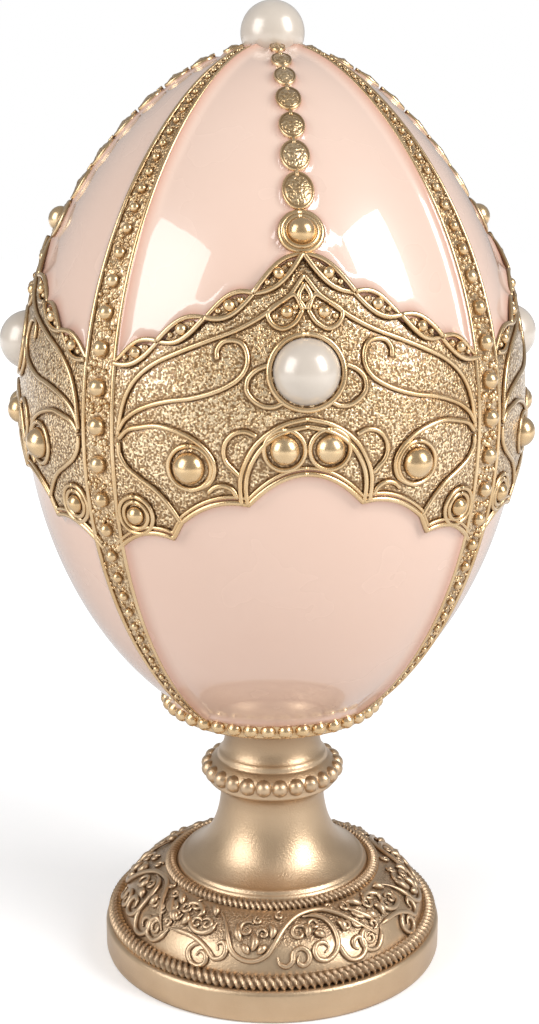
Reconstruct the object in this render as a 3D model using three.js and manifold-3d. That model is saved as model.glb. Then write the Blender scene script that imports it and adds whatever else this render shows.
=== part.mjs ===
// A decorative egg on a round foot: a cast egg with raised ribs and bands, and five set pearls.
// Millimetres, +Z up. The origin is the middle of the foot's underside, the front panel faces -Y.
import * as THREE from 'three';
import { mergeVertices } from 'three/addons/utils/BufferGeometryUtils.js';
import Module from 'manifold-3d';

const wasm = await Module();
wasm.setup();
const { degToRad, lerp, radToDeg } = THREE.MathUtils;

// The egg's body: an ellipse drawn in at both ends, and a little more at the top
const EGG_MIDDLE = 100.1;
const EGG_HALF_HEIGHT = 58;
const EGG_RADIUS = 41.8;
const EGG_DRAWN_IN = 0.107;
const EGG_LEAN = 0.051;
const EGG_SEAT = 45.3;
const LACQUER_START = 48.9;
const EGG_SIDES = 36;
const EGG_ROWS = 14;

// The row of beads under the egg, as one round moulding of its profile, from and to in degrees
const BEAD_RING = { radius: 18.8, height: 47.5, thickness: 2.5, from: -80, to: 70, steps: 3 };

// The raised ornament on each quarter of the egg
const PANELS = 4;
const PANEL_TURN = 360 / PANELS;
const RELIEF = 1;
const RIB_WIDTH = 6.6;
const RIB_TAPER_UP = 0.8;
const RIB_TAPER_DOWN = 1.4;
const RIB_TOP = 157.4;
const RIB_STEPS = 8;

// The band's upper edge: beaded cells in a row from the peak down to the rib, as [degrees, height]
const BAND_PEAK = [0, 127.5];
const BAND_FIRST_CELL_END = [11, 122.1];
const BAND_LAST_CELL_END = [41, 111.5];
const BAND_CELLS = 4;
const CELL_BULGE = 1.75;
const CELL_STEPS = 3;

// The band's lower edge: a middle arch, then a side and a corner scallop, as [degrees, height]
const ARCH_TOP = 96.3;
const ARCH_FOOT = [11.6, 91.7];
const SIDE_SCALLOP_BEND = [18.7, 92.9];
const SIDE_SCALLOP_END = [25.8, 88.4];
const STEP_FOOT = [27.9, 85.8];
const CORNER_SCALLOP_BEND = [35.4, 87.7];
const CORNER_SCALLOP_END = [43, 82.3];
const SCALLOP_STEPS = 3;

// The gold balls cast on the band, each set both left and right of the panel's middle
const BALLS = [
  { radius: 2.3, turn: 4.5, height: 100.1 },
  { radius: 2.6, turn: 23.5, height: 97.2 },
];
const BALL_SINK = 0.4;
const BALL_FACETS = [8, 4];

// The chain up each panel's middle line: a round boss, then oval discs that shrink as they climb
const BOSS_HEIGHT = 130.6;
const BOSS_RADIUS = 3.1;
const DISC_COUNT = 5;
const DISC_WIDTH = 4.5;
const DISC_STRETCH = 1.32;
const DISC_SHRINK = 0.91;
const DISC_RELIEF = 0.8;
const DISC_SIDES = 8;

// The pearls, set into sockets with a thin line of glue round them
const PEARL_RADIUS = 5;
const PEARL_OUT = 40.5;
const PEARL_HEIGHT = 111.2;
const TOP_PEARL_RADIUS = 5.2;
const TOP_PEARL_HEIGHT = 160.3;
const GLUE_LINE = 0.3;
const PEARL_FACETS = [12, 8];
const SOCKET_FACETS = [10, 8];

// The turned foot, from its rim up to the plate that carries the egg, with points as [radius, height]
const FOOT_SIDES = 32;
const FOOT_RADIUS = 30.3;
const RIM_HEIGHT = 5.6;
const LOWER_ROPE = { radius: 28.7, height: 6.6, thickness: 2.3, from: -20, to: 150, steps: 3 };
const DOME = { foot: [27.5, 7.4], bulge: [25.6, 13.4], top: [19.3, 15], steps: 3 };
const UPPER_ROPE = { radius: 18.4, height: 15.4, thickness: 1.9, from: 20, to: 130, steps: 2 };
const LIP_RADIUS = 16.9;
const LIP_HEIGHT = 17.2;
const LIP_EDGE = 0.7;
const FLARE = { pull: [10.1, 20.2], waist: [9.3, 28.5], steps: 4 };
const COLLAR = { radius: 12.1, height: 33.7, thickness: 2.4, from: -70, to: 80, steps: 3 };
const COLLAR_SEAT_RADIUS = 9.7;
const COLLAR_SEAT_BOTTOM = 32.5;
const COLLAR_SEAT_TOP = 36.1;
const NECK_RADIUS = 8.7;
const NECK_HEIGHT = 40.4;
const PLATE_RADIUS = 14;
const PLATE_BOTTOM = 43.6;
const PLATE_HOLLOW = 2;

const LACQUER = { color: 0xecccba, roughness: 0.2, metalness: 0 };
const GOLD = { color: 0xc8a878, roughness: 0.4, metalness: 0.8 };
const PEARL = { color: 0xebe4d7, roughness: 0.15, metalness: 0 };

// Radius of the lacquered wall at a height
function eggRadius(height) {
  const s = (height - EGG_MIDDLE) / EGG_HALF_HEIGHT;
  return EGG_RADIUS * Math.sqrt(Math.max(0, 1 - s * s)) * (1 - EGG_DRAWN_IN * s * s - EGG_LEAN * s ** 3);
}

// A closed solid from a geometry, with its seams joined and its collapsed triangles dropped
function solidOf(geometry) {
  const bare = geometry.index ? geometry.toNonIndexed() : geometry.clone();
  bare.deleteAttribute('normal');
  bare.deleteAttribute('uv');
  const joined = mergeVertices(bare, 1e-5);
  const corners = joined.index.array;
  const kept = [];
  for (let i = 0; i < corners.length; i += 3) {
    const [a, b, c] = [corners[i], corners[i + 1], corners[i + 2]];
    if (a !== b && b !== c && c !== a) kept.push(a, b, c);
  }
  const vertProperties = new Float32Array(joined.attributes.position.array);
  return new wasm.Manifold(new wasm.Mesh({ numProp: 3, vertProperties, triVerts: new Uint32Array(kept) }));
}

function geometryOf(solid) {
  const { numProp, vertProperties, triVerts } = solid.getMesh();
  const geometry = new THREE.BufferGeometry();
  const positions = new Float32Array((vertProperties.length / numProp) * 3);
  for (let i = 0; i < positions.length / 3; i++) {
    positions.set(vertProperties.subarray(i * numProp, i * numProp + 3), i * 3);
  }
  geometry.setAttribute('position', new THREE.BufferAttribute(positions, 3));
  geometry.setIndex(new THREE.BufferAttribute(new Uint32Array(triVerts), 1));
  return geometry;
}

function piece(name, geometry, finish) {
  const bare = geometry.clone();
  bare.computeVertexNormals();
  const mesh = new THREE.Mesh(bare, new THREE.MeshStandardMaterial(finish));
  mesh.name = name;
  return mesh;
}

// A profile of [radius, height] points from the axis back to the axis, turned about Z
function turned(profile, sides) {
  const points = profile.map(([radius, height]) => new THREE.Vector2(radius, height));
  return new THREE.LatheGeometry(points, sides).rotateX(Math.PI / 2);
}

// Points of a round moulding of a profile
function moulding({ radius, height, thickness, from, to, steps }) {
  return Array.from({ length: steps + 1 }, (_, i) => {
    const angle = degToRad(lerp(from, to, i / steps));
    return [radius + (thickness / 2) * Math.cos(angle), height + (thickness / 2) * Math.sin(angle)];
  });
}

// Points of a bend between two profile or outline points, pulled towards a third
function bend(start, pull, end, steps) {
  const curve = new THREE.QuadraticBezierCurve(
    new THREE.Vector2(...start),
    new THREE.Vector2(...pull),
    new THREE.Vector2(...end),
  );
  return curve.getPoints(steps).map((p) => [p.x, p.y]);
}

// The egg's wall, or a skin that stands proud of it
function eggShell(proud) {
  const wall = [];
  for (let i = 0; i < EGG_ROWS; i++) {
    const share = (1 - Math.cos((Math.PI * (i + 1)) / (EGG_ROWS + 1))) / 2;
    const height = LACQUER_START + (EGG_MIDDLE + EGG_HALF_HEIGHT - LACQUER_START) * share;
    wall.push([eggRadius(height) + proud, height]);
  }
  return wall;
}

function eggBody() {
  const profile = [
    [0, EGG_SEAT],
    [BEAD_RING.radius - BEAD_RING.thickness / 2, EGG_SEAT],
    ...moulding(BEAD_RING),
    [eggRadius(LACQUER_START), LACQUER_START],
    ...eggShell(0),
    [0, EGG_MIDDLE + EGG_HALF_HEIGHT],
  ];
  return solidOf(turned(profile, EGG_SIDES));
}

function reliefSkin() {
  const profile = [
    [0, LACQUER_START],
    [eggRadius(LACQUER_START) + RELIEF, LACQUER_START],
    ...eggShell(RELIEF),
    [0, EGG_MIDDLE + EGG_HALF_HEIGHT + RELIEF],
  ];
  return solidOf(turned(profile, EGG_SIDES));
}

// An outline in degrees and millimetres of height, pushed out from near the axis through the wall
function pushedOut(outline, turn) {
  const shape = new THREE.Shape(outline.map(([x, y]) => new THREE.Vector2(x, y)));
  const geometry = new THREE.ExtrudeGeometry(shape, { depth: 1, bevelEnabled: false });
  const points = geometry.attributes.position;
  const [inner, outer] = [1, 2 * EGG_RADIUS];
  for (let i = 0; i < points.count; i++) {
    const angle = degToRad(turn + points.getX(i));
    const radius = lerp(inner, outer, points.getZ(i));
    points.setXYZ(i, radius * Math.sin(angle), -radius * Math.cos(angle), points.getY(i));
  }
  return solidOf(geometry);
}

// A rib's outline: widest at the girth and drawn in towards both ends
function ribOutline() {
  const right = [];
  for (let i = 0; i <= RIB_STEPS; i++) {
    const share = (1 - Math.cos((Math.PI * i) / RIB_STEPS)) / 2;
    const height = LACQUER_START + (RIB_TOP - LACQUER_START) * share;
    const radius = eggRadius(height);
    const taper = height > EGG_MIDDLE ? RIB_TAPER_UP : RIB_TAPER_DOWN;
    const width = RIB_WIDTH * (radius / EGG_RADIUS) ** taper;
    right.push([radToDeg(width / 2 / radius), height]);
  }
  const left = right.map(([x, y]) => [-x, y]).reverse();
  return [...right, ...left];
}

// Where two cells of the upper edge meet, counted from the peak
function cellJoint(count) {
  if (count === 0) return BAND_PEAK;
  const share = (count - 1) / (BAND_CELLS - 1);
  return [0, 1].map((k) => lerp(BAND_FIRST_CELL_END[k], BAND_LAST_CELL_END[k], share));
}

// One side of the band, from the foot of the middle arch round to the peak
function halfBand() {
  const lower = [
    ...bend(ARCH_FOOT, SIDE_SCALLOP_BEND, SIDE_SCALLOP_END, SCALLOP_STEPS),
    ...bend(STEP_FOOT, CORNER_SCALLOP_BEND, CORNER_SCALLOP_END, SCALLOP_STEPS),
    [PANEL_TURN / 2, CORNER_SCALLOP_END[1]],
    [PANEL_TURN / 2, BAND_LAST_CELL_END[1]],
  ];
  const upper = [];
  for (let cell = BAND_CELLS; cell > 0; cell--) {
    const [from, to] = [cellJoint(cell), cellJoint(cell - 1)];
    for (let i = 0; i < CELL_STEPS; i++) {
      const t = i / CELL_STEPS;
      const rise = CELL_BULGE * Math.sin(Math.PI * t);
      upper.push([lerp(from[0], to[0], t), lerp(from[1], to[1], t) + rise]);
    }
  }
  return [...lower, ...upper];
}

function bandOutline() {
  const right = halfBand();
  const left = right.map(([x, y]) => [-x, y]).reverse();
  const archPull = [0, 2 * ARCH_TOP - ARCH_FOOT[1]];
  const arch = bend([-ARCH_FOOT[0], ARCH_FOOT[1]], archPull, ARCH_FOOT, 2 * SCALLOP_STEPS);
  return [...right, BAND_PEAK, ...left, ...arch.slice(1, -1)];
}

// How fast the wall draws in with height
function wallSlope(height) {
  const reach = 0.05;
  return (eggRadius(height + reach) - eggRadius(height - reach)) / (2 * reach);
}

// The height reached from another by walking a distance up the wall
function climb(height, distance) {
  const steps = 20;
  let reached = height;
  for (let i = 0; i < steps; i++) reached += distance / steps / Math.hypot(1, wallSlope(reached));
  return reached;
}

// A geometry with X sideways and Y outwards, moved to its place on the egg's wall
function onWall(geometry, turn, height, proud) {
  const angle = degToRad(turn);
  const sideways = new THREE.Vector3(Math.cos(angle), Math.sin(angle), 0);
  const level = new THREE.Vector3(Math.sin(angle), -Math.cos(angle), 0);
  const outward = level.clone().setZ(-wallSlope(height)).normalize();
  const place = level.multiplyScalar(eggRadius(height)).setZ(height).addScaledVector(outward, proud);
  const stand = new THREE.Matrix4().makeBasis(sideways, outward, sideways.clone().cross(outward));
  return geometry.applyMatrix4(stand.setPosition(place));
}

function disc(width, length, turn, height) {
  const flat = new THREE.CylinderGeometry(width / 2, width / 2, 2 * DISC_RELIEF, DISC_SIDES);
  return solidOf(onWall(flat.scale(1, 1, length / width), turn, height, 0));
}

// Each disc stands edge to edge with the one below it
function discChain(turn) {
  const chain = [disc(2 * BOSS_RADIUS, 2 * BOSS_RADIUS, turn, BOSS_HEIGHT)];
  let edge = climb(BOSS_HEIGHT, BOSS_RADIUS);
  for (let i = 0; i < DISC_COUNT; i++) {
    const width = DISC_WIDTH * DISC_SHRINK ** i;
    const length = width * DISC_STRETCH;
    const height = climb(edge, length / 2);
    chain.push(disc(width, length, turn, height));
    edge = climb(height, length / 2);
  }
  return chain;
}

function balls(turn) {
  return BALLS.flatMap(({ radius, turn: aside, height }) => [-aside, aside].map((side) => {
    const ball = new THREE.SphereGeometry(radius, ...BALL_FACETS);
    return solidOf(onWall(ball, turn + side, height, RELIEF - BALL_SINK));
  }));
}

function pearlSocket([x, y, z], radius) {
  return solidOf(new THREE.SphereGeometry(radius + GLUE_LINE, ...SOCKET_FACETS).translate(x, y, z));
}

function eggSolid(pearls) {
  let raised = null;
  let cast = eggBody();
  for (let panel = 0; panel < PANELS; panel++) {
    const turn = panel * PANEL_TURN;
    const band = pushedOut(bandOutline(), turn);
    const rib = pushedOut(ribOutline(), turn + PANEL_TURN / 2);
    raised = raised ? raised.add(band).add(rib) : band.add(rib);
  }
  cast = cast.add(raised.intersect(reliefSkin()));
  for (let panel = 0; panel < PANELS; panel++) {
    const turn = panel * PANEL_TURN;
    for (const extra of [...discChain(turn), ...balls(turn)]) cast = cast.add(extra);
  }
  for (const { place, radius } of pearls) cast = cast.subtract(pearlSocket(place, radius));
  return cast;
}

function footProfile() {
  const plateTop = EGG_SEAT - GLUE_LINE;
  return [
    [0, 0],
    [FOOT_RADIUS, 0],
    [FOOT_RADIUS, RIM_HEIGHT],
    ...moulding(LOWER_ROPE),
    ...bend(DOME.foot, DOME.bulge, DOME.top, DOME.steps),
    ...moulding(UPPER_ROPE),
    [LIP_RADIUS, LIP_HEIGHT - LIP_EDGE],
    ...bend([LIP_RADIUS - LIP_EDGE / 2, LIP_HEIGHT], FLARE.pull, FLARE.waist, FLARE.steps),
    [COLLAR_SEAT_RADIUS, COLLAR_SEAT_BOTTOM],
    ...moulding(COLLAR),
    [COLLAR_SEAT_RADIUS, COLLAR_SEAT_TOP],
    [NECK_RADIUS, NECK_HEIGHT],
    [PLATE_RADIUS - PLATE_HOLLOW, PLATE_BOTTOM],
    [PLATE_RADIUS, PLATE_BOTTOM],
    [PLATE_RADIUS, plateTop],
    [0, plateTop],
  ];
}

const pearls = [
  { name: 'pearl_front', place: [0, -PEARL_OUT, PEARL_HEIGHT], radius: PEARL_RADIUS },
  { name: 'pearl_right', place: [PEARL_OUT, 0, PEARL_HEIGHT], radius: PEARL_RADIUS },
  { name: 'pearl_back', place: [0, PEARL_OUT, PEARL_HEIGHT], radius: PEARL_RADIUS },
  { name: 'pearl_left', place: [-PEARL_OUT, 0, PEARL_HEIGHT], radius: PEARL_RADIUS },
  { name: 'pearl_top', place: [0, 0, TOP_PEARL_HEIGHT], radius: TOP_PEARL_RADIUS },
];

const object = new THREE.Group();
object.add(piece('foot', geometryOf(solidOf(turned(footProfile(), FOOT_SIDES))), GOLD));
object.add(piece('egg', geometryOf(eggSolid(pearls)), LACQUER));
for (const { name, place, radius } of pearls) {
  const pearl = piece(name, new THREE.SphereGeometry(radius, ...PEARL_FACETS), PEARL);
  pearl.position.set(...place);
  object.add(pearl);
}

export default object;
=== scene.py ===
import math

import bpy
import numpy as np
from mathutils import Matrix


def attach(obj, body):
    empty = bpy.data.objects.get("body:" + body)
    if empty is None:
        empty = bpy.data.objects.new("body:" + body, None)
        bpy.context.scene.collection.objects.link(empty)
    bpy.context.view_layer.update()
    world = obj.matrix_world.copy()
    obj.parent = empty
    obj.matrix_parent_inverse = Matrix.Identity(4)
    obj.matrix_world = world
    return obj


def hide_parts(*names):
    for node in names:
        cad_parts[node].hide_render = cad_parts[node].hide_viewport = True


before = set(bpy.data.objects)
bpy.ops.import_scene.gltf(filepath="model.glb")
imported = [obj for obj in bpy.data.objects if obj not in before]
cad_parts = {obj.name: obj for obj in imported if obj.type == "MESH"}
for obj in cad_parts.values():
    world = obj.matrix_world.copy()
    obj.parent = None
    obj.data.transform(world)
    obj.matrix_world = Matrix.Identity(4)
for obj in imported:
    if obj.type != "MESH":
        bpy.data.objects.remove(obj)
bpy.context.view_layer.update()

# The foot: one solid resin casting with a plain rim, a low dome of vine scrolls between two rope mouldings,
# a trumpet flare, a beaded collar and a neck. It is sprayed satin champagne gold and glued under the egg.
MM = 0.001
FOOT_SIDES = 160
DOME = np.array([(27.6, 7.2), (25.7, 13.3), (19.4, 15.0)])
DOME_TURN_MM = 0.44
DOME_CLIMB_MM = 12
LOWER_ROPE = {"radius": 28.6, "height": 6.7, "thick": 1.35, "strands": 144}
UPPER_ROPE = {"radius": 18.4, "height": 15.4, "thick": 1.1, "strands": 118}
COLLAR_BEADS = 25
COLLAR_BEAD = {"radius": 1.56, "tall": 1.05}
COLLAR_RADIUS = 11.2
COLLAR_HEIGHT = 33.9
COLLAR_LEAN = (0.9, 0.436)
# Heights up the neck and how much darker the gold is painted there: shade under the egg.
NECK_SHADE = ((37.2, 38.6, 42.6, 43.6), (0, 0.22, 0.42, 0.5))
VINE = 0.5
PEBBLE = 0.37
VINE_REPEATS = 4


class Casting:
    """Gathers one cast piece: nets of points in millimetres, each with how much darker it is coloured where
    it lies deep in the relief, as toning and as painted shade.
    """

    def __init__(self):
        self.points = []
        self.tones_and_shades = []
        self.hammered = []
        self.faces = []
        self.count = 0

    def net(self, points, tone_and_shade=0.0, hammer=0.0, closed=True, ends=False):
        """Skins rows of points. Closed joins a row's end to its start, ends fills the first and last rows."""
        rows, columns = points.shape[:2]
        index = self.count + np.arange(rows * columns).reshape(rows, columns)
        self.count += rows * columns
        self.points.append(points.reshape(-1, 3))
        self.tones_and_shades.append(np.broadcast_to(tone_and_shade, (rows, columns)).ravel())
        self.hammered.append(np.broadcast_to(hammer, (rows, columns)).ravel())
        if ends:
            self.faces.append(index[0][::-1].tolist())
            self.faces.append(index[-1].tolist())
        if closed:
            index = np.hstack([index, index[:, :1]])
        quads = np.stack([index[:-1, :-1], index[:-1, 1:], index[1:, 1:], index[1:, :-1]], axis=-1)
        self.faces += quads.reshape(-1, 4).tolist()

    def wire(self, path, lean, radius, sides=7):
        """Lays a round wire along a path; lean points out of the ground it lies on."""
        along = np.gradient(path, axis=0)
        along /= np.linalg.norm(along, axis=1, keepdims=True)
        across = np.cross(lean, along)
        across /= np.linalg.norm(across, axis=1, keepdims=True)
        out = np.cross(along, across)
        angle = np.linspace(0, 2 * np.pi, sides, endpoint=False) + np.pi / 2
        reach = np.cos(angle)[:, None] * across[:, None] + np.sin(angle)[:, None] * out[:, None]
        thick = np.broadcast_to(radius, len(path))[:, None, None]
        # Darker on the wire's lower half, towards the ground it lies on: painted shade.
        self.net(path[:, None] + thick * reach, np.clip(0.6 - np.sin(angle), 0, 1), ends=True)

    def bead(self, middle, lean, radius, rings=7, sides=14, tall=1.0):
        """Sets a round bead on the ground, with its hidden underside left off."""
        side = np.cross(lean, (0.3, 0.2, 0.93))
        side /= np.linalg.norm(side)
        other = np.cross(lean, side)
        angle = np.linspace(0, 2 * np.pi, sides, endpoint=False)
        climb = np.radians(np.linspace(-35, 85, rings))[:, None, None]
        ring = np.cos(angle)[:, None] * side + np.sin(angle)[:, None] * other
        net = middle + radius * (np.cos(climb) * ring + tall * np.sin(climb) * lean)
        # Darker round the bead's foot on the ground: painted shade.
        self.net(net, np.clip(0.35 - np.sin(climb[..., 0]), 0, 1), ends=True)

    def cast(self, name, finish, slot, *nodes, crisp=None):
        """Makes the Blender piece, riding on the one body, in the CAD nodes' place."""
        mesh = bpy.data.meshes.new(name)
        mesh.from_pydata(np.concatenate(self.points) * MM, [], self.faces)
        mesh.polygons.foreach_set("use_smooth", np.ones(len(mesh.polygons), bool))
        for mark, values in (("tone_and_shade", self.tones_and_shades), ("hammered", self.hammered)):
            layer = mesh.attributes.new(mark, "FLOAT", "POINT")
            layer.data.foreach_set("value", np.concatenate(values).astype(np.float32))
        if crisp:
            mesh.set_sharp_from_angle(angle=math.radians(crisp))
        mesh.materials.append(finish)
        piece = bpy.data.objects.new(name, mesh)
        bpy.context.scene.collection.objects.link(piece)
        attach(piece, "root")
        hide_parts(*nodes)
        return piece


class Tone:
    """A socket of a material's nodes, on which sums are written as they are thought."""

    def __init__(self, tree, socket=None):
        self.tree = tree
        self.socket = socket

    def node(self, kind, settings, sockets, output=0):
        made = self.tree.nodes.new(kind)
        for name, value in settings.items():
            setattr(made, name, value)
        for name, value in sockets.items():
            self.plug(made.inputs[name], value)
        return Tone(self.tree, made.outputs[output])

    def plug(self, socket, value):
        if isinstance(value, Tone):
            self.tree.links.new(value.socket, socket)
        else:
            socket.default_value = value

    def sum(self, operation, first, second, clamp=False):
        settings = {"operation": operation, "use_clamp": clamp}
        return self.node("ShaderNodeMath", settings, {0: first, 1: second})

    def __add__(self, other):
        return self.sum("ADD", self, other)

    __radd__ = __add__

    def __sub__(self, other):
        return self.sum("SUBTRACT", self, other)

    def __rsub__(self, other):
        return self.sum("SUBTRACT", other, self)

    def __mul__(self, other):
        return self.sum("MULTIPLY", self, other)

    __rmul__ = __mul__

    def held(self):
        """The same value kept between nothing and one."""
        return self.sum("MULTIPLY", self, 1.0, clamp=True)

    def blend(self, low, high):
        """A colour between two, by this value."""
        return self.node("ShaderNodeMix", {"data_type": "RGBA"}, {0: self, 6: low, 7: high}, output=2)

    def grain(self, size, detail=2.0):
        """Soft noise with blots of about this size in millimetres."""
        place = self.node("ShaderNodeTexCoord", {}, {}, output="Object")
        sockets = {"Vector": place, "Scale": 1 / (size * MM), "Detail": detail}
        return self.node("ShaderNodeTexNoise", {}, sockets)


def finish_of(name):
    """A new material: itself, its shader's sockets, and a Tone to start its sums from."""
    finish = bpy.data.materials.new(name)
    finish.use_nodes = True
    shader = finish.node_tree.nodes["Principled BSDF"].inputs
    return finish, shader, Tone(finish.node_tree)


def gilding(name, gold, pale, hollow, gloss, speckle):
    """Gold paint: brown in the hollows as toning and as painted shade, worn paler in clouds on the high
    places, pebbled where hammered, with painted highlights on the pebble tops and painted shade between them.
    """
    finish, shader, tone = finish_of(name)
    tone_and_shade = tone.node("ShaderNodeAttribute", {"attribute_name": "tone_and_shade"}, {}, output="Fac")
    hammered = tone.node("ShaderNodeAttribute", {"attribute_name": "hammered"}, {}, output="Fac")
    mound = (tone.grain(PEBBLE, 0.5) * 3.6 - 1.25).held()
    flake = tone.grain(0.3)
    cloud = tone.grain(6.0, 4.0)
    # How dark: the relief's mark of toning and painted shade, plus painted shade in the pits between hammered
    # pebbles.
    low = (tone_and_shade * (0.8 + 0.4 * cloud) + 0.75 * hammered * (1 - mound)).held()
    # How much paler: wear in soft clouds, plus a painted highlight on the hammered pebble tops.
    wear_and_highlight = ((1 - low) * (cloud * 1.3 - 0.3 + 0.6 * hammered * mound)).held()
    tone.plug(shader["Base Color"], low.blend((wear_and_highlight * 0.9).blend(gold, pale), hollow))
    tone.plug(shader["Roughness"], gloss + 0.16 * (flake - 0.5) + 0.1 * (cloud - 0.5) + 0.2 * low)
    height = hammered * mound * 0.11 + flake * speckle
    bump = {"Strength": 1.0, "Distance": MM, "Height": height}
    tone.plug(shader["Normal"], tone.node("ShaderNodeBump", {}, bump))
    shader["Metallic"].default_value = 0.93
    shader["Coat Weight"].default_value = 0.6
    shader["Coat Roughness"].default_value = gloss * 0.8
    return finish


def around(turn, radius, height):
    """Points at a turn in degrees from the front, to the right, about the upright axis."""
    angle = np.radians(turn)
    return np.stack(np.broadcast_arrays(radius * np.sin(angle), -radius * np.cos(angle), height), axis=-1)


def bend(start, pull, end, steps):
    """A curve of the profile from start to end, drawn towards pull."""
    t = np.linspace(0, 1, steps)[:, None]
    return (1 - t) ** 2 * np.array(start) + 2 * t * (1 - t) * np.array(pull) + t**2 * np.array(end)


def turned(casting, profile, sides, shade_heights=((0,), (0,))):
    """Turns a profile of radius and height about the axis, browner in its grooves and painted darker as shade
    at the heights given.
    """
    profile = np.asarray(profile, float)
    wide = np.pad(profile[:, 0], 3, mode="edge")
    level = sum(wide[k:k + len(profile)] for k in range(7)) / 7
    hollow = np.clip((level - profile[:, 0]) * 1.2, 0, 0.8)
    hollow = np.maximum(hollow, np.interp(profile[:, 1], *shade_heights))
    turn = np.linspace(0, 360, sides, endpoint=False)
    casting.net(around(turn, profile[:, :1], profile[:, 1:]), hollow[:, None], ends=True)


def rope(casting, radius, height, thick, strands):
    """A rope moulding: strands laid slanting side by side round a torus."""
    turn = np.linspace(0, 360, strands * 6, endpoint=False)
    angle = np.radians(np.linspace(-50, 230, 15))[:, None]
    strand = np.abs(np.sin(np.radians(turn) * strands / 2 + angle * 1.2)) ** 2.0
    swell = thick * (0.52 + 0.5 * strand)
    # Browner between the strands, as toning and as painted shade in the gaps.
    casting.net(around(turn, radius + swell * np.cos(angle), height + swell * np.sin(angle)), 1 - strand**0.8)


def smooth(points, gap, stretch):
    """A smooth curve through points, one place each gap of millimetres; stretch turns its units into mm."""
    points = np.asarray(points, float)
    steps = np.linalg.norm(np.diff(points, axis=0) * stretch, axis=1)
    reach = np.concatenate([[0], np.cumsum(steps)])
    slope = np.gradient(points, reach, axis=0)
    at = np.linspace(0, reach[-1], max(3, int(reach[-1] / gap)))
    k = np.clip(np.searchsorted(reach, at, side="right") - 1, 0, len(points) - 2)
    span = (reach[k + 1] - reach[k])[:, None]
    t = (at - reach[k])[:, None] / span
    start = (1 + 2 * t) * points[k] + t * span * slope[k]
    end = (3 - 2 * t) * points[k + 1] + (t - 1) * span * slope[k + 1]
    return (1 - t) ** 2 * start + t**2 * end


def dome_vine(casting, points, radius, turn, leaf=False):
    """A vine on the dome through points of turn and climb, thin at its ends; a leaf swells in the middle."""
    turns, climb = smooth(points, 0.35, (DOME_TURN_MM, DOME_CLIMB_MM)).T
    climb = np.clip(climb, 0, 1)[:, None]
    foot, pull, top = DOME
    place = (1 - climb) ** 2 * foot + 2 * climb * (1 - climb) * pull + climb**2 * top
    slope = 2 * (1 - climb) * (pull - foot) + 2 * climb * (top - pull)
    slope /= np.linalg.norm(slope, axis=1, keepdims=True)
    path = around(turns + turn, place[:, 0], place[:, 1])
    lean = around(turns + turn, slope[:, 1], -slope[:, 0])
    share = np.linspace(0, 1, len(path))
    taper = np.sin(np.pi * share) ** 0.7 + 0.08 if leaf else np.clip(8 * np.minimum(share, 1 - share), 0.4, 1)
    casting.wire(path + 0.5 * radius * lean, lean, radius * taper)


champagne = gilding("champagne_satin", (0.585, 0.41, 0.25, 1), (0.70, 0.525, 0.345, 1), (0.16, 0.08, 0.03, 1),
                    0.38, 0.05)
foot = Casting()
turned(foot, np.concatenate([
    [(29.7, 0.0), (30.2, 0.2), (30.4, 0.8), (30.4, 2.0), (30.4, 3.6), (30.4, 4.9)],
    [(30.25, 5.45), (29.8, 5.75), (29.3, 5.7), (28.6, 5.9), (27.9, 6.7)],
    bend(*DOME, 24) - (0.25, 0.0),
    [(19.2, 14.9), (18.4, 14.7), (17.6, 15.4), (17.3, 15.7), (17.25, 16.0), (17.1, 16.35), (16.85, 16.5)],
    [(16.7, 16.6), (16.6, 16.9), (16.4, 17.15), (16.1, 17.25)],
    bend((15.9, 17.3), (10.1, 20.2), (9.3, 28.5), 30),
    bend((9.3, 29.2), (9.4, 31.2), (10.7, 31.5), 8),
    [(11.3, 31.6), (11.55, 31.9), (11.5, 32.2), (11.5, 32.7), (11.75, 33.4), (11.75, 34.2), (11.5, 34.8)],
    bend((11.2, 35.1), (10.5, 35.8), (9.95, 36.1), 6),
    [(9.85, 36.25), (9.8, 36.6), (9.65, 36.95), (9.4, 37.2)],
    bend((9.2, 37.4), (7.9, 39.6), (9.1, 42.7), 12),
    [(9.6, 43.1), (10.8, 43.6), (13.3, 43.85), (13.9, 44.1), (14.0, 44.6), (13.9, 45.0)],
]), FOOT_SIDES, NECK_SHADE)
climb = np.linspace(0, 1, 40)[:, None]
filled = np.clip((climb - 0.36) * 7, 0, 1) * np.clip((0.98 - climb) * 12, 0, 1)
turn = np.linspace(0, 360, FOOT_SIDES, endpoint=False)
skirt = bend(*DOME, 40)
foot.net(around(turn, skirt[:, :1] - 0.12 * filled, skirt[:, 1:]), 0.1 * filled, 0.6 * filled)
rope(foot, **LOWER_ROPE)
rope(foot, **UPPER_ROPE)
for turn in np.arange(COLLAR_BEADS) * 360 / COLLAR_BEADS:
    foot.bead(around(turn, COLLAR_RADIUS, COLLAR_HEIGHT), around(turn, *COLLAR_LEAN), **COLLAR_BEAD)
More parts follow.
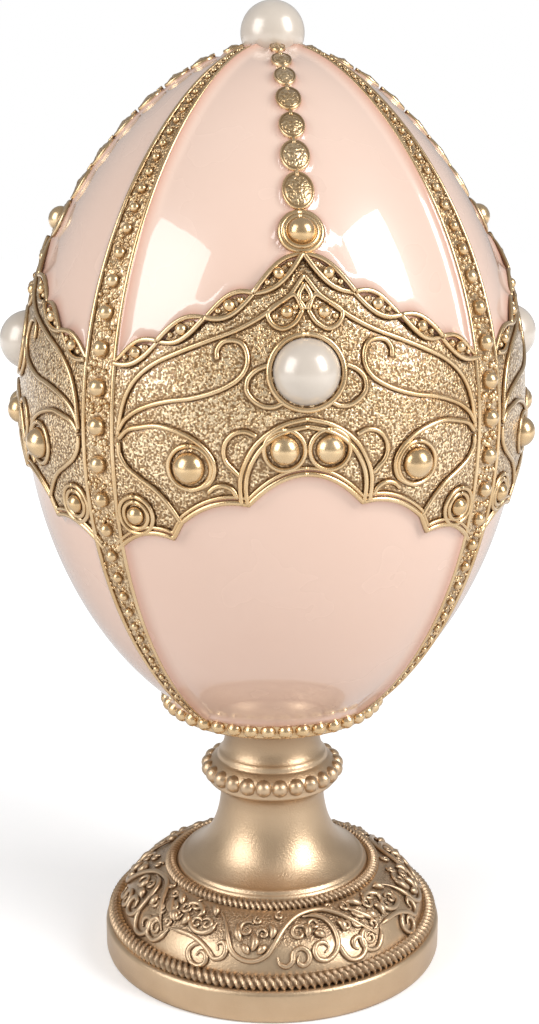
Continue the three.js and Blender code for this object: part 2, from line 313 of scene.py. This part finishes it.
for quarter in np.arange(VINE_REPEATS) * 360 / VINE_REPEATS:
    for vine in (
        [(-31, 0.86), (-28.6, 0.78), (-26.3, 0.65), (-24.1, 0.46), (-22, 0.31), (-18.5, 0.22), (-13.7, 0.2),
         (-9.2, 0.28), (-6, 0.45), (-1.7, 0.69), (4.4, 0.87), (10.8, 0.93), (17.5, 0.92), (23.3, 0.81),
         (27.5, 0.66), (32, 0.48), (36.4, 0.3)],
        [(7, 0.85), (11.5, 0.85), (15.8, 0.79), (18.3, 0.66), (19.1, 0.48), (18.5, 0.33), (16.3, 0.22),
         (12.6, 0.16), (9.8, 0.2), (8.9, 0.31), (10.6, 0.41), (13.6, 0.4), (14.6, 0.32), (13, 0.27)],
        [(-5, 0.26), (-4.2, 0.17), (-1.9, 0.13), (0.4, 0.19), (1, 0.31), (3.7, 0.38), (6.5, 0.31),
         (6.6, 0.19), (4.2, 0.13), (2.3, 0.19), (3.2, 0.27)],
        [(18.9, 0.42), (19.1, 0.32), (20, 0.2), (22.2, 0.1), (25.9, 0.08), (29, 0.16), (29.6, 0.28),
         (27.6, 0.37), (25.1, 0.33), (24.8, 0.24), (26.3, 0.2)],
        [(-51, 0.39), (-45.4, 0.41), (-38.9, 0.4), (-34.2, 0.34), (-31.3, 0.27), (-28, 0.17), (-25.2, 0.21),
         (-24.3, 0.33), (-26, 0.42), (-28, 0.38), (-27.6, 0.29)],
        [(-33, 0.33), (-36.9, 0.31), (-38.9, 0.19), (-37.3, 0.07), (-34, 0.03), (-31.3, 0.1), (-31.6, 0.2),
         (-34, 0.23), (-35.4, 0.16)],
        [(-43.5, 0.66), (-41.6, 0.54), (-36.8, 0.48), (-32.6, 0.54), (-31, 0.68)],
        [(-50, 0.8), (-47, 0.88), (-42.5, 0.88), (-39.5, 0.78), (-41, 0.7)],
        [(-50.6, 0.36), (-52.5, 0.22), (-56, 0.12), (-60, 0.16), (-61.5, 0.3), (-59, 0.42), (-55.6, 0.38)],
        [(30, 0.82), (34.5, 0.66), (38.2, 0.52)],
    ):
        dome_vine(foot, vine, VINE, quarter)
    for leaf in (
        [(-22, 0.72), (-21, 0.58), (-19, 0.45)],
        [(-14.6, 0.6), (-13.4, 0.46), (-14.6, 0.33)],
        [(-19, 0.42), (-17, 0.37), (-15.6, 0.28)],
        [(-8.8, 0.44), (-10.4, 0.38), (-12.6, 0.3)],
        [(-8.6, 0.74), (-6.4, 0.66), (-7.4, 0.52)],
        [(6.6, 0.72), (8.2, 0.64), (6.8, 0.52)],
        [(10, 0.58), (12, 0.55), (14.6, 0.48)],
        [(21.6, 0.7), (23.4, 0.6), (22.6, 0.5)],
        [(31.5, 0.93), (35, 0.88), (38, 0.78)],
        [(-46.5, 0.7), (-44.6, 0.6), (-46, 0.5)],
        [(-53.8, 0.64), (-51, 0.58), (-49.8, 0.5)],
        [(-37, 0.92), (-34, 0.88), (-33, 0.78)],
    ):
        dome_vine(foot, leaf, VINE * 1.4, quarter, leaf=True)
    for at, up, size, start, sense in (
        (-17.6, 0.66, 1.6, 40, 1), (-10.6, 0.6, 1.1, 200, -1), (-13.2, 0.82, 0.9, 100, 1),
        (4, 0.6, 1.6, 20, 1), (11.2, 0.7, 1.1, 180, -1), (25, 0.6, 1.2, 100, 1), (29.2, 0.88, 1.1, 60, -1),
        (34.8, 0.7, 1.3, 150, 1), (39.2, 0.62, 1.1, 20, -1), (37, 0.46, 0.9, 250, 1), (-40, 0.6, 1.2, 30, 1),
        (-35.2, 0.63, 1.2, 150, -1), (-44, 0.88, 1.3, 100, 1), (-49, 0.78, 1.2, 20, -1),
        (-57, 0.3, 1.3, 80, 1), (-56, 0.72, 1.4, 140, 1), (-60, 0.58, 1.1, 10, -1), (-3.4, 0.9, 0.9, 60, 1),
        (22, 0.93, 0.8, 160, -1),
    ):
        angle = np.radians(start + sense * np.linspace(0, 420, 12))
        wind = size * np.linspace(1, 0.25, 12)
        curl = [at + wind * np.cos(angle) / DOME_TURN_MM, up + wind * np.sin(angle) / DOME_CLIMB_MM]
        dome_vine(foot, np.stack(curl, axis=1), VINE * 0.72, quarter)
foot.cast("foot_casting", champagne, "gold", "foot", crisp=70)

# The egg: a hollow resin casting, its windows flooded with opaque pale pink lacquer that climbs in a soft
# fillet against the gold relief round each window. The lacquer is thick and glossy. Its colour is deeper
# where it gathers against the gold, with painted shade along those edges, and painted paler up the egg and
# deeper towards the foot as light from above.
EGG_MIDDLE = 100.1
EGG_HALF_HEIGHT = 58.0
EGG_RADIUS = 41.8
EGG_DRAWN_IN = 0.107
EGG_LEAN = 0.051
RIB_WIDTH = 6.6
BAND_JOINTS = [(0, 127.5), (11, 122.1), (21, 118.6), (31, 115.1), (41, 111.5), (51, 108)]
BAND_BULGE = 1.75
ARCH = {"turn": 11.6, "height": 91.7, "rise": 4.6}
SIDE_SCALLOP = {"turn": 25.8, "height": 88.4, "rise": 1.42}
STEP = {"turn": 27.9, "height": 85.8}
CORNER_SCALLOP = {"turn": 43.0, "height": 82.3, "rise": 1.82}
LACQUER_FOOT = 47.0
LACQUER_TOP = 157.9
UNDER_RIB = 2.0
AWAY = 9.0
PANELS = {"front": 0, "right": 90, "back": 180, "left": 270}
RING_TOP = 48.9
FILLET = 2.0
FILLET_RISE = 0.9
CHAIN_BOSS = 130.6
CHAIN_BOSS_REACH = 3.3
CHAIN_OVALS = [(136.3, 4.5, 6.0), (141.2, 4.2, 5.3), (145.5, 3.75, 4.8), (149.4, 3.7, 4.7), (152.7, 3.2, 4.2),
               (155.2, 3.05, 3.9), (157.2, 2.4, 3.2)]


def egg_radius(height):
    s = np.clip((height - EGG_MIDDLE) / EGG_HALF_HEIGHT, -0.9995, 0.9995)
    return EGG_RADIUS * np.sqrt(1 - s**2) * (1 - EGG_DRAWN_IN * s**2 - EGG_LEAN * s**3)


def wall_lean(turn, height):
    """The way straight out of the egg's wall."""
    fall = (egg_radius(height + 0.02) - egg_radius(height - 0.02)) / 0.04
    return around(turn, 1 / np.sqrt(1 + fall**2), -fall / np.sqrt(1 + fall**2))


def wall(turn, height, proud=0.0):
    """A place on the egg's wall, standing proud of it."""
    return around(turn, egg_radius(height), height) + np.asarray(proud)[..., None] * wall_lean(turn, height)


HEIGHTS = np.linspace(45, 158, 6000)
ARC = np.concatenate([[0], np.cumsum(np.hypot(np.diff(HEIGHTS), np.diff(egg_radius(HEIGHTS))))])


def arc_of(height):
    """How far a height lies up the wall, measured along it in millimetres."""
    return np.interp(height, HEIGHTS, ARC)


def height_of(arc):
    """The height of a place so far up along the wall."""
    return np.interp(arc, ARC, HEIGHTS)


def rib_half(height):
    """Half a rib's width in millimetres."""
    share = egg_radius(height) / EGG_RADIUS
    return RIB_WIDTH / 2 * share ** np.where(height > EGG_MIDDLE, 0.8, 1.4)


def band_top(turn):
    """The height of the gold band's upper edge, over the twisted border's bulging cells."""
    joints = np.array(BAND_JOINTS, float)
    turn = np.abs(turn)
    chord = np.interp(turn, joints[:, 0], joints[:, 1])
    cell = np.interp(turn, joints[:, 0], np.arange(len(joints)))
    return chord + BAND_BULGE * np.abs(np.sin(np.pi * cell))


def scallop(turn, start, end):
    """One curved bay of the band's lower edge."""
    share = np.clip((turn - start["turn"]) / (end["turn"] - start["turn"]), 0, 1)
    chord = start["height"] + share * (end["height"] - start["height"])
    return chord + end.get("rise", 0) * 4 * share * (1 - share)


def band_foot(turn):
    """The height of the gold band's lower edge: a centre arch, a scallop, a step and a corner scallop."""
    turn = np.abs(turn)
    edge = ARCH["height"] + ARCH["rise"] * (1 - (turn / ARCH["turn"]) ** 2)
    for start, end in ((ARCH, SIDE_SCALLOP), (SIDE_SCALLOP, STEP), (STEP, CORNER_SCALLOP)):
        edge = np.where(turn > start["turn"], scallop(turn, start, end), edge)
    return edge


def chain_gap(turn, height):
    """How far a place lies outside the boss and ovals of the chain up a panel's middle."""
    across = np.radians(turn) * egg_radius(height)
    climb = arc_of(height)
    gap = np.hypot(across, climb - arc_of(CHAIN_BOSS)) - CHAIN_BOSS_REACH
    for middle, wide, long in CHAIN_OVALS:
        up = (climb - arc_of(middle)) / long
        gap = np.minimum(gap, (np.hypot(across / wide, up) - 0.5) * (wide + long) / 2)
    return gap


def pink_lacquer():
    finish, shader, tone = finish_of("pink_lacquer")
    tone_and_shade = tone.node("ShaderNodeAttribute", {"attribute_name": "tone_and_shade"}, {}, output="Fac")
    cloud = tone.grain(18.0, 3.0)
    ripple = tone.grain(3.0)
    place = tone.node("ShaderNodeTexCoord", {}, {}, output="Object")
    climb = tone.node("ShaderNodeSeparateXYZ", {}, {0: place}, output="Z")
    # Paler up the egg and deeper towards the foot, by height alone: painted light falling from above, with
    # soft random clouds mixed in.
    rise = (11 * climb - 0.6).held()
    milky_and_top_light = (0.35 * cloud + 0.65 * rise).blend((0.71, 0.47, 0.36, 1), (0.785, 0.59, 0.49, 1))
    # Deeper pink where the lacquer gathers against the gold: painted shade along those edges.
    tone.plug(shader["Base Color"], (tone_and_shade * 0.85).blend(milky_and_top_light, (0.62, 0.32, 0.22, 1)))
    tone.plug(shader["Roughness"], 0.22 + 0.10 * cloud)
    bump = {"Strength": 1.0, "Distance": 0.007 * MM, "Height": ripple}
    tone.plug(shader["Normal"], tone.node("ShaderNodeBump", {}, bump))
    shader["Coat Weight"].default_value = 1.0
    shader["Coat Roughness"].default_value = 0.035
    shader["Coat IOR"].default_value = 1.6
    return finish


lacquer = pink_lacquer()
half = np.concatenate([np.linspace(0, 0.14, 10), np.linspace(0.16, 0.82, 15), np.linspace(0.835, 1, 13)])
columns = np.concatenate([-half[:0:-1], half])
low = np.concatenate([np.linspace(0, 0.1, 12), np.linspace(0.12, 0.86, 26), np.linspace(0.88, 1, 16)])
high = np.concatenate([np.linspace(0, 0.1, 16), np.linspace(0.115, 1, 74)])


def window_heights(low_turn, high_turn):
    """Heights up a panel: from the bead ring to the band, then from the band to the tip."""
    edge = band_foot(low_turn)
    start = band_top(high_turn)
    return np.concatenate([LACQUER_FOOT + low * (edge - LACQUER_FOOT), start + high * (LACQUER_TOP - start)])


skin, pool_and_edge_shade = [], []
for panel in PANELS.values():
    for column in np.append(columns, UNDER_RIB):
        turn = 45.0
        height = window_heights(turn, turn)
        if column < UNDER_RIB:
            for _ in range(3):
                turn = column * (45 - np.degrees(rib_half(height) / egg_radius(height)).clip(0, 38))
                height = window_heights(turn[:len(low)], turn[len(low):])
        turn = np.broadcast_to(turn, height.shape)
        reach = np.radians(45 - np.abs(turn)) * egg_radius(height) - rib_half(height)
        upper = height > EGG_MIDDLE
        edge = np.where(upper, (height - band_top(turn)) * 0.85, (band_foot(turn) - height) * 0.92)
        seat = np.where(height < EGG_MIDDLE, (height - RING_TOP) * 1.3, AWAY)
        edge = np.minimum(np.minimum(reach, edge), seat)
        disc = np.where(upper, chain_gap(turn, height), AWAY)
        climb = FILLET_RISE * np.clip(1 - edge / FILLET, 0, 1) ** 2.1 - 1.5 * np.clip(-edge, 0, 0.8)
        mound = 0.6 * np.clip(1 - disc / 1.3, 0, 1) ** 2 - 2 * np.clip(-disc, 0, 0.5)
        skin.append(wall(turn + panel, height, np.maximum(climb, mound) - 0.3 * (reach < -0.5)))
        # Deeper colour within 1.3 mm of the gold and the chain: gathering lacquer, painted as shade along the
        # edges.
        pool_and_edge_shade.append(np.clip(1 - np.minimum(edge, disc) / 1.3, 0, 1) ** 1.4)
egg = Casting()
egg.net(np.stack(skin, axis=1), np.stack(pool_and_edge_shade, axis=1))
egg.cast("egg_lacquer", lacquer, "lacquer", "egg")

# The waist band: cast in one with the egg and gilded by hand, browned in its hollows, with shade painted
# beside its wires. Round wires and bezels stand on a hammered ground, with polished domes in the bezels and a
# twisted border along the top.
WALL_MM = 0.72
GROUND = 0.85
HAMMER = 0.08
WIRE = 0.39
SUNK = -0.3
DOMES = [(4.5, 100.1, 2.25, 2.95), (23.5, 97.15, 2.5, 3.25), (36.3, 89.05, 1.5, 2.1)]
CORNER_RING = (36.3, 89.05, 2.95)
BORDER_SWING = 1.45
BORDER_BEADS = [(0.5, 0.95), (0.27, 0.5), (0.73, 0.5)]
PEARL_HEIGHT = 111.2
PEARL_BEZEL = 5.45
SCROLLS = [
    [(0, 124.6), (1.8, 123), (2.7, 122.2), (5.7, 120.6), (9, 119), (14.3, 117), (20.6, 115.3), (26.8, 113.5),
     (31, 112.1), (34, 110.6), (36, 109.1), (37.5, 107.3), (38.3, 105.8), (39, 103.5), (39.5, 101)],
    [(7.8, 112.2), (10.1, 111.5), (11.8, 110.15), (11.9, 108.5), (10.8, 107.4), (8.5, 106.4), (6.3, 106.4),
     (4.7, 107)],
    [(18, 112.9), (18.1, 114.2), (17, 115.3), (15.1, 115.6), (13.1, 115.2), (11.9, 113.4), (12.1, 111.8),
     (13.5, 110.3), (15.7, 109.2), (18.8, 108.2), (23, 107.3), (28, 106.7), (32, 105.9), (35.4, 104.8),
     (38, 103.3), (39.4, 101.7)],
    [(39.3, 100.5), (37.4, 101.9), (34.1, 102.6), (30.5, 103), (27, 102.6), (22.5, 101.3), (19.8, 99.7),
     (18.5, 98.1), (18.4, 96.7), (19.1, 95.3), (21.2, 94.3), (23.7, 93.7)],
    [(39.4, 100), (39.2, 98.3), (37.8, 96.6), (34.6, 94.9), (31.2, 93.4), (29, 91.9), (27.2, 90.2),
     (25.9, 88.7)],
    [(13, 91.9), (13.25, 94.5), (13.1, 96.2), (12.1, 98.4), (10.2, 100.8), (7.5, 102.6), (4.5, 103.8),
     (0, 104.6)],
    [(11.8, 91.9), (12.1, 94.5), (11.9, 96.1), (11, 98.1), (9.2, 100.2), (6.8, 101.8), (4.1, 102.8),
     (0, 103.5)],
    [(10, 102.1), (12, 102.75), (14.1, 102.55), (15.8, 101.5), (16.5, 100), (16.1, 98.4), (14.5, 97.1),
     (13.4, 96.25)],
    [(19.8, 93.55), (18.3, 94.5), (16.3, 94.7), (14.7, 94.1), (13.8, 92.9)],
    [(0.6, 119.8), (2.3, 121.9), (4.4, 121.2), (7.9, 119.1), (6.6, 117.7), (4.8, 117.2), (2.4, 118),
     (0.6, 119.8)],
    [(0, 123.4), (1.3, 121.6), (0, 119.9)],
]
CROWN_BEADS = [(0, 121.4, 0.7), (3.9, 119.5, 1.0), (6.3, 118.9, 0.5), (2.1, 120.2, 0.5)]


def pebbles(across, climb, pitch, seed):
    """A hammered ground: how near each place is to the top of its pebble, on a scattered net of them."""
    scatter = np.random.default_rng(seed).random((64, 64, 2))
    column, row = np.floor(across / pitch).astype(int), np.floor(climb / pitch).astype(int)
    first = np.full(np.broadcast(across, climb).shape, AWAY)
    second = first.copy()
    for i in (-1, 0, 1):
        for j in (-1, 0, 1):
            spot = scatter[(column + i) % 64, (row + j) % 64]
            far = np.hypot(column + i + spot[..., 0] - across / pitch, row + j + spot[..., 1] - climb / pitch)
            second = np.minimum(second, np.maximum(first, far))
            first = np.minimum(first, far)
    return np.clip((second - first) * 1.6, 0, 1) ** 0.6


def bent_ring(turn, height, ring):
    """A wire bent into a ring on the wall, as turns and heights."""
    angle = np.radians(np.arange(0, 361, 9))
    up = height_of(arc_of(height) + ring * np.cos(angle))
    return turn + np.degrees(ring * np.sin(angle) / egg_radius(height)), up


def wall_wire(casting, turn, height, radius, proud):
    """A wire laid on the wall."""
    casting.wire(wall(turn, height, proud), wall_lean(turn, height), radius)


def dome(casting, turn, height, radius, proud=GROUND, tall=1.0):
    """A polished half-round boss on the wall."""
    lean = wall_lean(turn, height)
    casting.bead(wall(turn, height, proud), lean, radius, 5 + int(radius * 2.2), 9 + int(radius * 6), tall)


relief_gold = gilding("relief_gold", (0.63, 0.405, 0.185, 1), (0.92, 0.73, 0.475, 1), (0.14, 0.06, 0.016, 1),
                      0.27, 0.01)
lines = [(*smooth(scroll, 0.36, (WALL_MM, 1)).T, WIRE, GROUND) for scroll in SCROLLS]
rim = np.concatenate([np.linspace(0, ARCH["turn"], 26),
                      np.linspace(ARCH["turn"], SIDE_SCALLOP["turn"], 26)[1:],
                      np.linspace(SIDE_SCALLOP["turn"], STEP["turn"], 6)[1:],
                      np.linspace(STEP["turn"], CORNER_SCALLOP["turn"], 26)[1:]])
lines.append((rim, band_foot(rim) + 0.25, WIRE * 1.15, GROUND - 0.1))
lines.append((rim, band_foot(rim) + 1.15, WIRE * 0.75, GROUND))
border = list(zip(BAND_JOINTS[:4], BAND_JOINTS[1:5]))
for cell, (start, end) in enumerate(border):
    share = np.linspace(0, 1, 26)
    chord = np.array(start) + share[:, None] * np.subtract(end, start)
    for swing in (1, -1):
        over = swing * (1 if cell % 2 else -1) * np.cos(np.pi * share)
        height = chord[:, 1] + swing * BORDER_SWING * np.sin(np.pi * share)
        lines.append((chord[:, 0], height, WIRE * 1.05, GROUND + 0.15 + 0.25 * over))
for turn, height, radius, ring in DOMES:
    lines.append((*bent_ring(turn, height, ring), WIRE, GROUND))
lines.append((*bent_ring(*CORNER_RING), WIRE, GROUND))
lines += [(-turn, height, radius, proud) for turn, height, radius, proud in lines]
lines.append((*bent_ring(0, PEARL_HEIGHT, PEARL_BEZEL), WIRE * 1.2, GROUND))
ground_turn = np.linspace(-42.6, 42.6, 230)
ground_share = np.concatenate([[0, 0], np.linspace(0.004, 0.996, 100), [1, 1]])[:, None]
ground_height = band_foot(ground_turn) + ground_share * (band_top(ground_turn) - band_foot(ground_turn))
beside = np.full(ground_height.shape, AWAY)
for turn, height, radius, proud in lines:
    for at, up in zip(turn[::2], height[::2]):
        beside = np.minimum(beside, np.hypot((ground_turn - at) * WALL_MM, ground_height - up))
# Beside each wire the ground dips and is painted darker: painted shade along the wires.
trench_and_shade = np.clip(1 - (beside - 0.3) / 0.5, 0, 1)
for name, panel in PANELS.items():
    band = Casting()
    knock = pebbles(ground_turn * WALL_MM + 60, ground_height, 1.4, panel + 3)
    proud = GROUND - 0.08 + HAMMER * (knock - 0.6) - 0.14 * trench_and_shade
    proud[[0, -1]] = SUNK
    band.net(wall(ground_turn + panel, ground_height, proud), 0.75 * trench_and_shade, 1 - trench_and_shade, closed=False)
    for turn, height, radius, up in lines:
        wall_wire(band, turn + panel, height, radius, up)
    for side in (1, -1):
        for start, end in border:
            for share, radius in BORDER_BEADS:
                at, height = np.array(start) + share * np.subtract(end, start)
                dome(band, panel + side * at, height, radius, GROUND)
        for at, height, radius, ring in DOMES:
            dome(band, panel + side * at, height, radius, GROUND - 0.1, 0.9)
        for at, height, radius in CROWN_BEADS:
            dome(band, panel + side * at, height, radius, GROUND)
    band.cast("band_" + name, relief_gold, "gold")

# The four ribs: straps of the same casting from the bead ring to the top pearl, between the panels. Each has
# a polished rail down both edges and a row of beads, widest at the waist, on a ground of gilded granules.
RIB_FOOT = 48.3
RIB_TOP = 157.3
RIB_PROUD = 0.8
RAIL = 0.42
GRANULES = 9
WAIST_BEAD = 101.9
BEAD_SHARE = 0.26


def rib_spacing(height):
    """How far apart the beads lie along a rib."""
    return 5.8 / (1 + ((height - 104) / 32) ** 2)


rib_beads = [WAIST_BEAD]
while rib_beads[-1] < RIB_TOP - 1:
    rib_beads.append(height_of(arc_of(rib_beads[-1]) + rib_spacing(rib_beads[-1])))
while rib_beads[0] > RIB_FOOT + 1:
    rib_beads.insert(0, height_of(arc_of(rib_beads[0]) - rib_spacing(rib_beads[0])))
for number, panel in enumerate((45, 135, 225, 315)):
    rib = Casting()
    scatter = np.random.default_rng(number + 40)
    climb = np.arange(arc_of(RIB_FOOT), arc_of(RIB_TOP), 0.3)[:, None]
    height = height_of(climb)
    share = np.concatenate([[-1, -1], np.linspace(-0.99, 0.99, 18), [1, 1]])
    across = share * rib_half(height)
    beside = np.full(across.shape, AWAY)
    for bead in rib_beads:
        reach = np.hypot(across, climb - arc_of(bead)) - BEAD_SHARE * rib_spacing(bead)
        beside = np.minimum(beside, reach)
    # Round each bead and inside the rails the ground dips and is painted darker: painted shade.
    trench_and_shade = np.clip(1 - np.minimum(beside, rib_half(height) - 0.8 - np.abs(across)) / 0.4, 0, 1)
    proud = RIB_PROUD + 0.2 * (pebbles(across + 20, climb, 1.1, number + 11) - 0.6) - 0.1 * trench_and_shade
    proud[:, [0, -1]] = SUNK
    turn = np.degrees(across / egg_radius(height)) + panel
    rib.net(wall(turn, height, proud), 0.55 * trench_and_shade, 0.75 - 0.4 * trench_and_shade, closed=False)
    rail = height_of(np.arange(climb[0, 0], climb[-1, 0], 0.5))
    for side in (1, -1):
        inset = 0.4 * np.minimum(1, rib_half(rail) / 2)
        turn = panel + side * np.degrees((rib_half(rail) - inset) / egg_radius(rail))
        wall_wire(rib, turn, rail, RAIL * np.minimum(1, 0.45 + 0.55 * rib_half(rail) / 2.6), RIB_PROUD - 0.05)
    for bead in rib_beads:
        gap = rib_spacing(bead)
        dome(rib, panel, bead, BEAD_SHARE * gap, RIB_PROUD)
        for up, aside, size in scatter.random((GRANULES, 3)):
            seed = height_of(arc_of(bead) + (0.3 + 0.4 * up) * gap)
            room = rib_half(seed) - 0.3 * rib_half(seed)
            turn = panel + np.degrees((2 * aside - 1) * room / egg_radius(seed))
            rib.bead(wall(turn, seed, RIB_PROUD), wall_lean(turn, seed), (0.07 + 0.04 * size) * gap, 4, 8)
    rib.cast("rib_%d" % (number + 1), relief_gold, "gold")

# The disc chains: a boss in a double bezel and seven oval discs, edge to edge, climb each panel's middle to
# the top pearl. They are cast with the egg and gilded; each disc has a granular face inside a smooth rim.
BOSS = {"radius": 2.1, "proud": 0.75, "tall": 0.92}
BOSS_BEZELS = [(3.0, 0.5, 0.55), (2.35, 0.45, 0.7)]
DISC_RINGS = np.concatenate([[1.09, 1.06, 1.03, 0.98, 0.92, 0.88], np.linspace(0.8, 0.06, 10)])
DISC_PROFILE = ((0, 0.86, 0.92, 0.99, 1.06), (1.25, 0.8, 0.7, 0.9, 0.6))
LINK = {"radius": 0.3, "proud": 0.7}
for name, panel in PANELS.items():
    chain = Casting()
    for bezel, thick, proud in BOSS_BEZELS:
        wall_wire(chain, *bent_ring(panel, CHAIN_BOSS, bezel), thick, proud)
    dome(chain, panel, CHAIN_BOSS, **BOSS)
    for order, (middle, wide, long) in enumerate(CHAIN_OVALS):
        angle = np.radians(np.arange(0, 360, 9))
        out = DISC_RINGS[:, None]
        across = out * wide / 2 * np.sin(angle)
        climb = arc_of(middle) + out * long / 2 * np.cos(angle)
        height = height_of(climb)
        proud = np.interp(out, *DISC_PROFILE)
        proud = proud + 0.12 * (pebbles(across + 20, climb, 0.9, panel + order) - 0.6) * (out < 0.85)
        proud[0] = SUNK
        turn = panel + np.degrees(across / np.maximum(egg_radius(height), 0.8))
        # The groove between face and rim is browned, as toning and as painted shade.
        groove = np.clip(1 - np.abs(out - 0.9) / 0.06, 0, 1)
        chain.net(wall(turn, height, proud)[:, ::-1], 0.8 * groove, 0.5 * (out < 0.88), ends=True)
        link = height_of(arc_of(middle) + long * np.linspace(0.6, 0.38, 5))
        wall_wire(chain, np.full(5, panel), link, **LINK)
    chain.cast("chain_" + name, relief_gold, "gold")

# The bead ring: forty round beads in a seat round the egg's foot, moulded on and gilded with it. Below them a
# thin lip runs round, and the flat underside is glued to the foot's plate.
RING_BEADS = 40
RING_BEAD = 1.35
RING_RADIUS = 18.5
RING_HEIGHT = 47.4
RING_LEAN = (0.98, -0.2)
RING_SIDES = 120
ring = Casting()
turned(ring, [(13.9, 45.3), (16.0, 45.35), (17.3, 45.5), (18.0, 45.8), (18.15, 46.1), (18.1, 46.5),
              (18.4, 47.0), (18.7, 47.6), (18.9, 48.2), (19.0, 48.7), (18.9, 49.1), (18.6, 49.4),
              (18.0, 49.5)], RING_SIDES)
for turn in np.arange(RING_BEADS) * 360 / RING_BEADS:
    ring.bead(around(turn, RING_RADIUS, RING_HEIGHT), around(turn, *RING_LEAN), RING_BEAD)
ring.cast("bead_ring", relief_gold, "gold")

# The five pearls: imitation pearls of moulded plastic with a cream nacre coat, glued into the bezels of the
# four panels and on top where the ribs meet.
PEARL_RADIUS = 5.0
PEARL_REACH = 40.5
TOP_PEARL_RADIUS = 5.2
TOP_PEARL_HEIGHT = 160.3


def nacre():
    finish, shader, tone = finish_of("cream_nacre")
    cloud = tone.grain(2.4, 4.0)
    veil = tone.grain(6.0)
    cream = cloud.blend((0.57, 0.50, 0.415, 1), (0.66, 0.59, 0.50, 1))
    tone.plug(shader["Base Color"], (0.5 * veil).blend(cream, (0.66, 0.555, 0.485, 1)))
    tone.plug(shader["Roughness"], 0.26 + 0.12 * cloud)
    bump = {"Strength": 1.0, "Distance": 0.006 * MM, "Height": tone.grain(0.35)}
    tone.plug(shader["Normal"], tone.node("ShaderNodeBump", {}, bump))
    shader["Metallic"].default_value = 0.15
    shader["Coat Weight"].default_value = 1.0
    shader["Coat Roughness"].default_value = 0.2
    shader["Sheen Weight"].default_value = 0.25
    return finish


pearl_coat = nacre()


def pearl(name, middle, radius):
    """A bead moulded nearly round, a little flattened at its drilled ends."""
    ball = Casting()
    climb = np.radians(np.linspace(-88, 88, 34))[:, None]
    turn = np.linspace(0, 360, 60, endpoint=False)
    flat = radius * (1 - 0.012 * np.sin(climb) ** 6)
    ball.net(around(turn, flat * np.cos(climb), flat * np.sin(climb)) + middle, ends=True)
    ball.cast(name + "_nacre", pearl_coat, "pearl", name)


for name, panel in PANELS.items():
    pearl("pearl_" + name, around(panel, PEARL_REACH, PEARL_HEIGHT), PEARL_RADIUS)
pearl("pearl_top", np.array((0, 0, TOP_PEARL_HEIGHT)), TOP_PEARL_RADIUS)

# The studio: a pale seamless floor that glows white far off, a large softbox at each side of the camera and a
# white surround. The camera stands a little to the left of the front panel and looks down on it.
CAMERA_TURN = -6.8
CAMERA_REACH = 271.6
CAMERA_HEIGHT = 146.6
CAMERA_DOWN = 13.66
CAMERA_STEP = 0.49
LENS = 56.72
FLOOR_SPAN = 3.0
SURROUND = 0.37


def softbox(name, way, reach, wide, tall, power):
    """A soft light that faces the egg from the way given."""
    light = bpy.data.lights.new(name, "AREA")
    light.shape = "RECTANGLE"
    light.size = wide
    light.size_y = tall
    light.energy = power
    lamp = bpy.data.objects.new(name, light)
    place = np.array(way) / np.linalg.norm(way) * reach
    lamp.location = place + np.array((0, 0, 0.1))
    lamp.rotation_euler = (math.acos(place[2] / reach), 0, math.atan2(place[1], place[0]) + math.pi / 2)
    bpy.context.scene.collection.objects.link(lamp)


softbox("softbox_left", (-0.82, -0.39, 0.41), 0.6, 0.36, 0.46, 2.1)
softbox("softbox_right", (0.70, -0.53, 0.49), 0.6, 0.24, 0.40, 3.0)

floor_finish, shader, tone = finish_of("pale_floor")
paper = tone.grain(30.0)
tone.plug(shader["Base Color"], paper.blend((0.86, 0.86, 0.86, 1), (0.88, 0.88, 0.88, 1)))
shader["Roughness"].default_value = 0.8
place = tone.node("ShaderNodeTexCoord", {}, {}, output="Object")
far = tone.node("ShaderNodeVectorMath", {"operation": "LENGTH"}, {0: place}, output="Value")
seen = tone.node("ShaderNodeLightPath", {}, {}, output="Is Camera Ray")
glow = (2.2 * far - 0.5 + 0.75 * seen).held()
tone.plug(shader["Emission Color"], glow.blend((0, 0, 0, 1), (0.9, 0.9, 0.9, 1)))
shader["Emission Strength"].default_value = 1.0
mesh = bpy.data.meshes.new("floor")
span = FLOOR_SPAN / 2
mesh.from_pydata([(-span, -span, 0), (span, -span, 0), (span, span, 0), (-span, span, 0)], [], [(0, 1, 2, 3)])
mesh.materials.append(floor_finish)
floor = bpy.data.objects.new("floor", mesh)
bpy.context.scene.collection.objects.link(floor)

world = bpy.data.worlds.new("white_surround")
world.use_nodes = True
surround = Tone(world.node_tree)
seen = surround.node("ShaderNodeLightPath", {}, {}, output="Is Camera Ray")
surround.plug(world.node_tree.nodes["Background"].inputs["Strength"], SURROUND + (1 - SURROUND) * seen)
world.node_tree.nodes["Background"].inputs["Color"].default_value = (1, 1, 1, 1)
bpy.context.scene.world = world
bpy.context.scene.view_settings.view_transform = "Standard"

camera = bpy.data.objects.new("camera", bpy.data.cameras.new("camera"))
camera.data.lens = LENS
camera.data.sensor_width = 36
camera.data.clip_start = 0.01
step_left = around(CAMERA_TURN + 90, CAMERA_STEP, 0.0)
camera.location = (around(CAMERA_TURN, CAMERA_REACH, CAMERA_HEIGHT) - step_left) * MM
camera.rotation_euler = (math.radians(90 - CAMERA_DOWN), 0, math.radians(CAMERA_TURN))
bpy.context.scene.collection.objects.link(camera)
bpy.context.scene.camera = camera
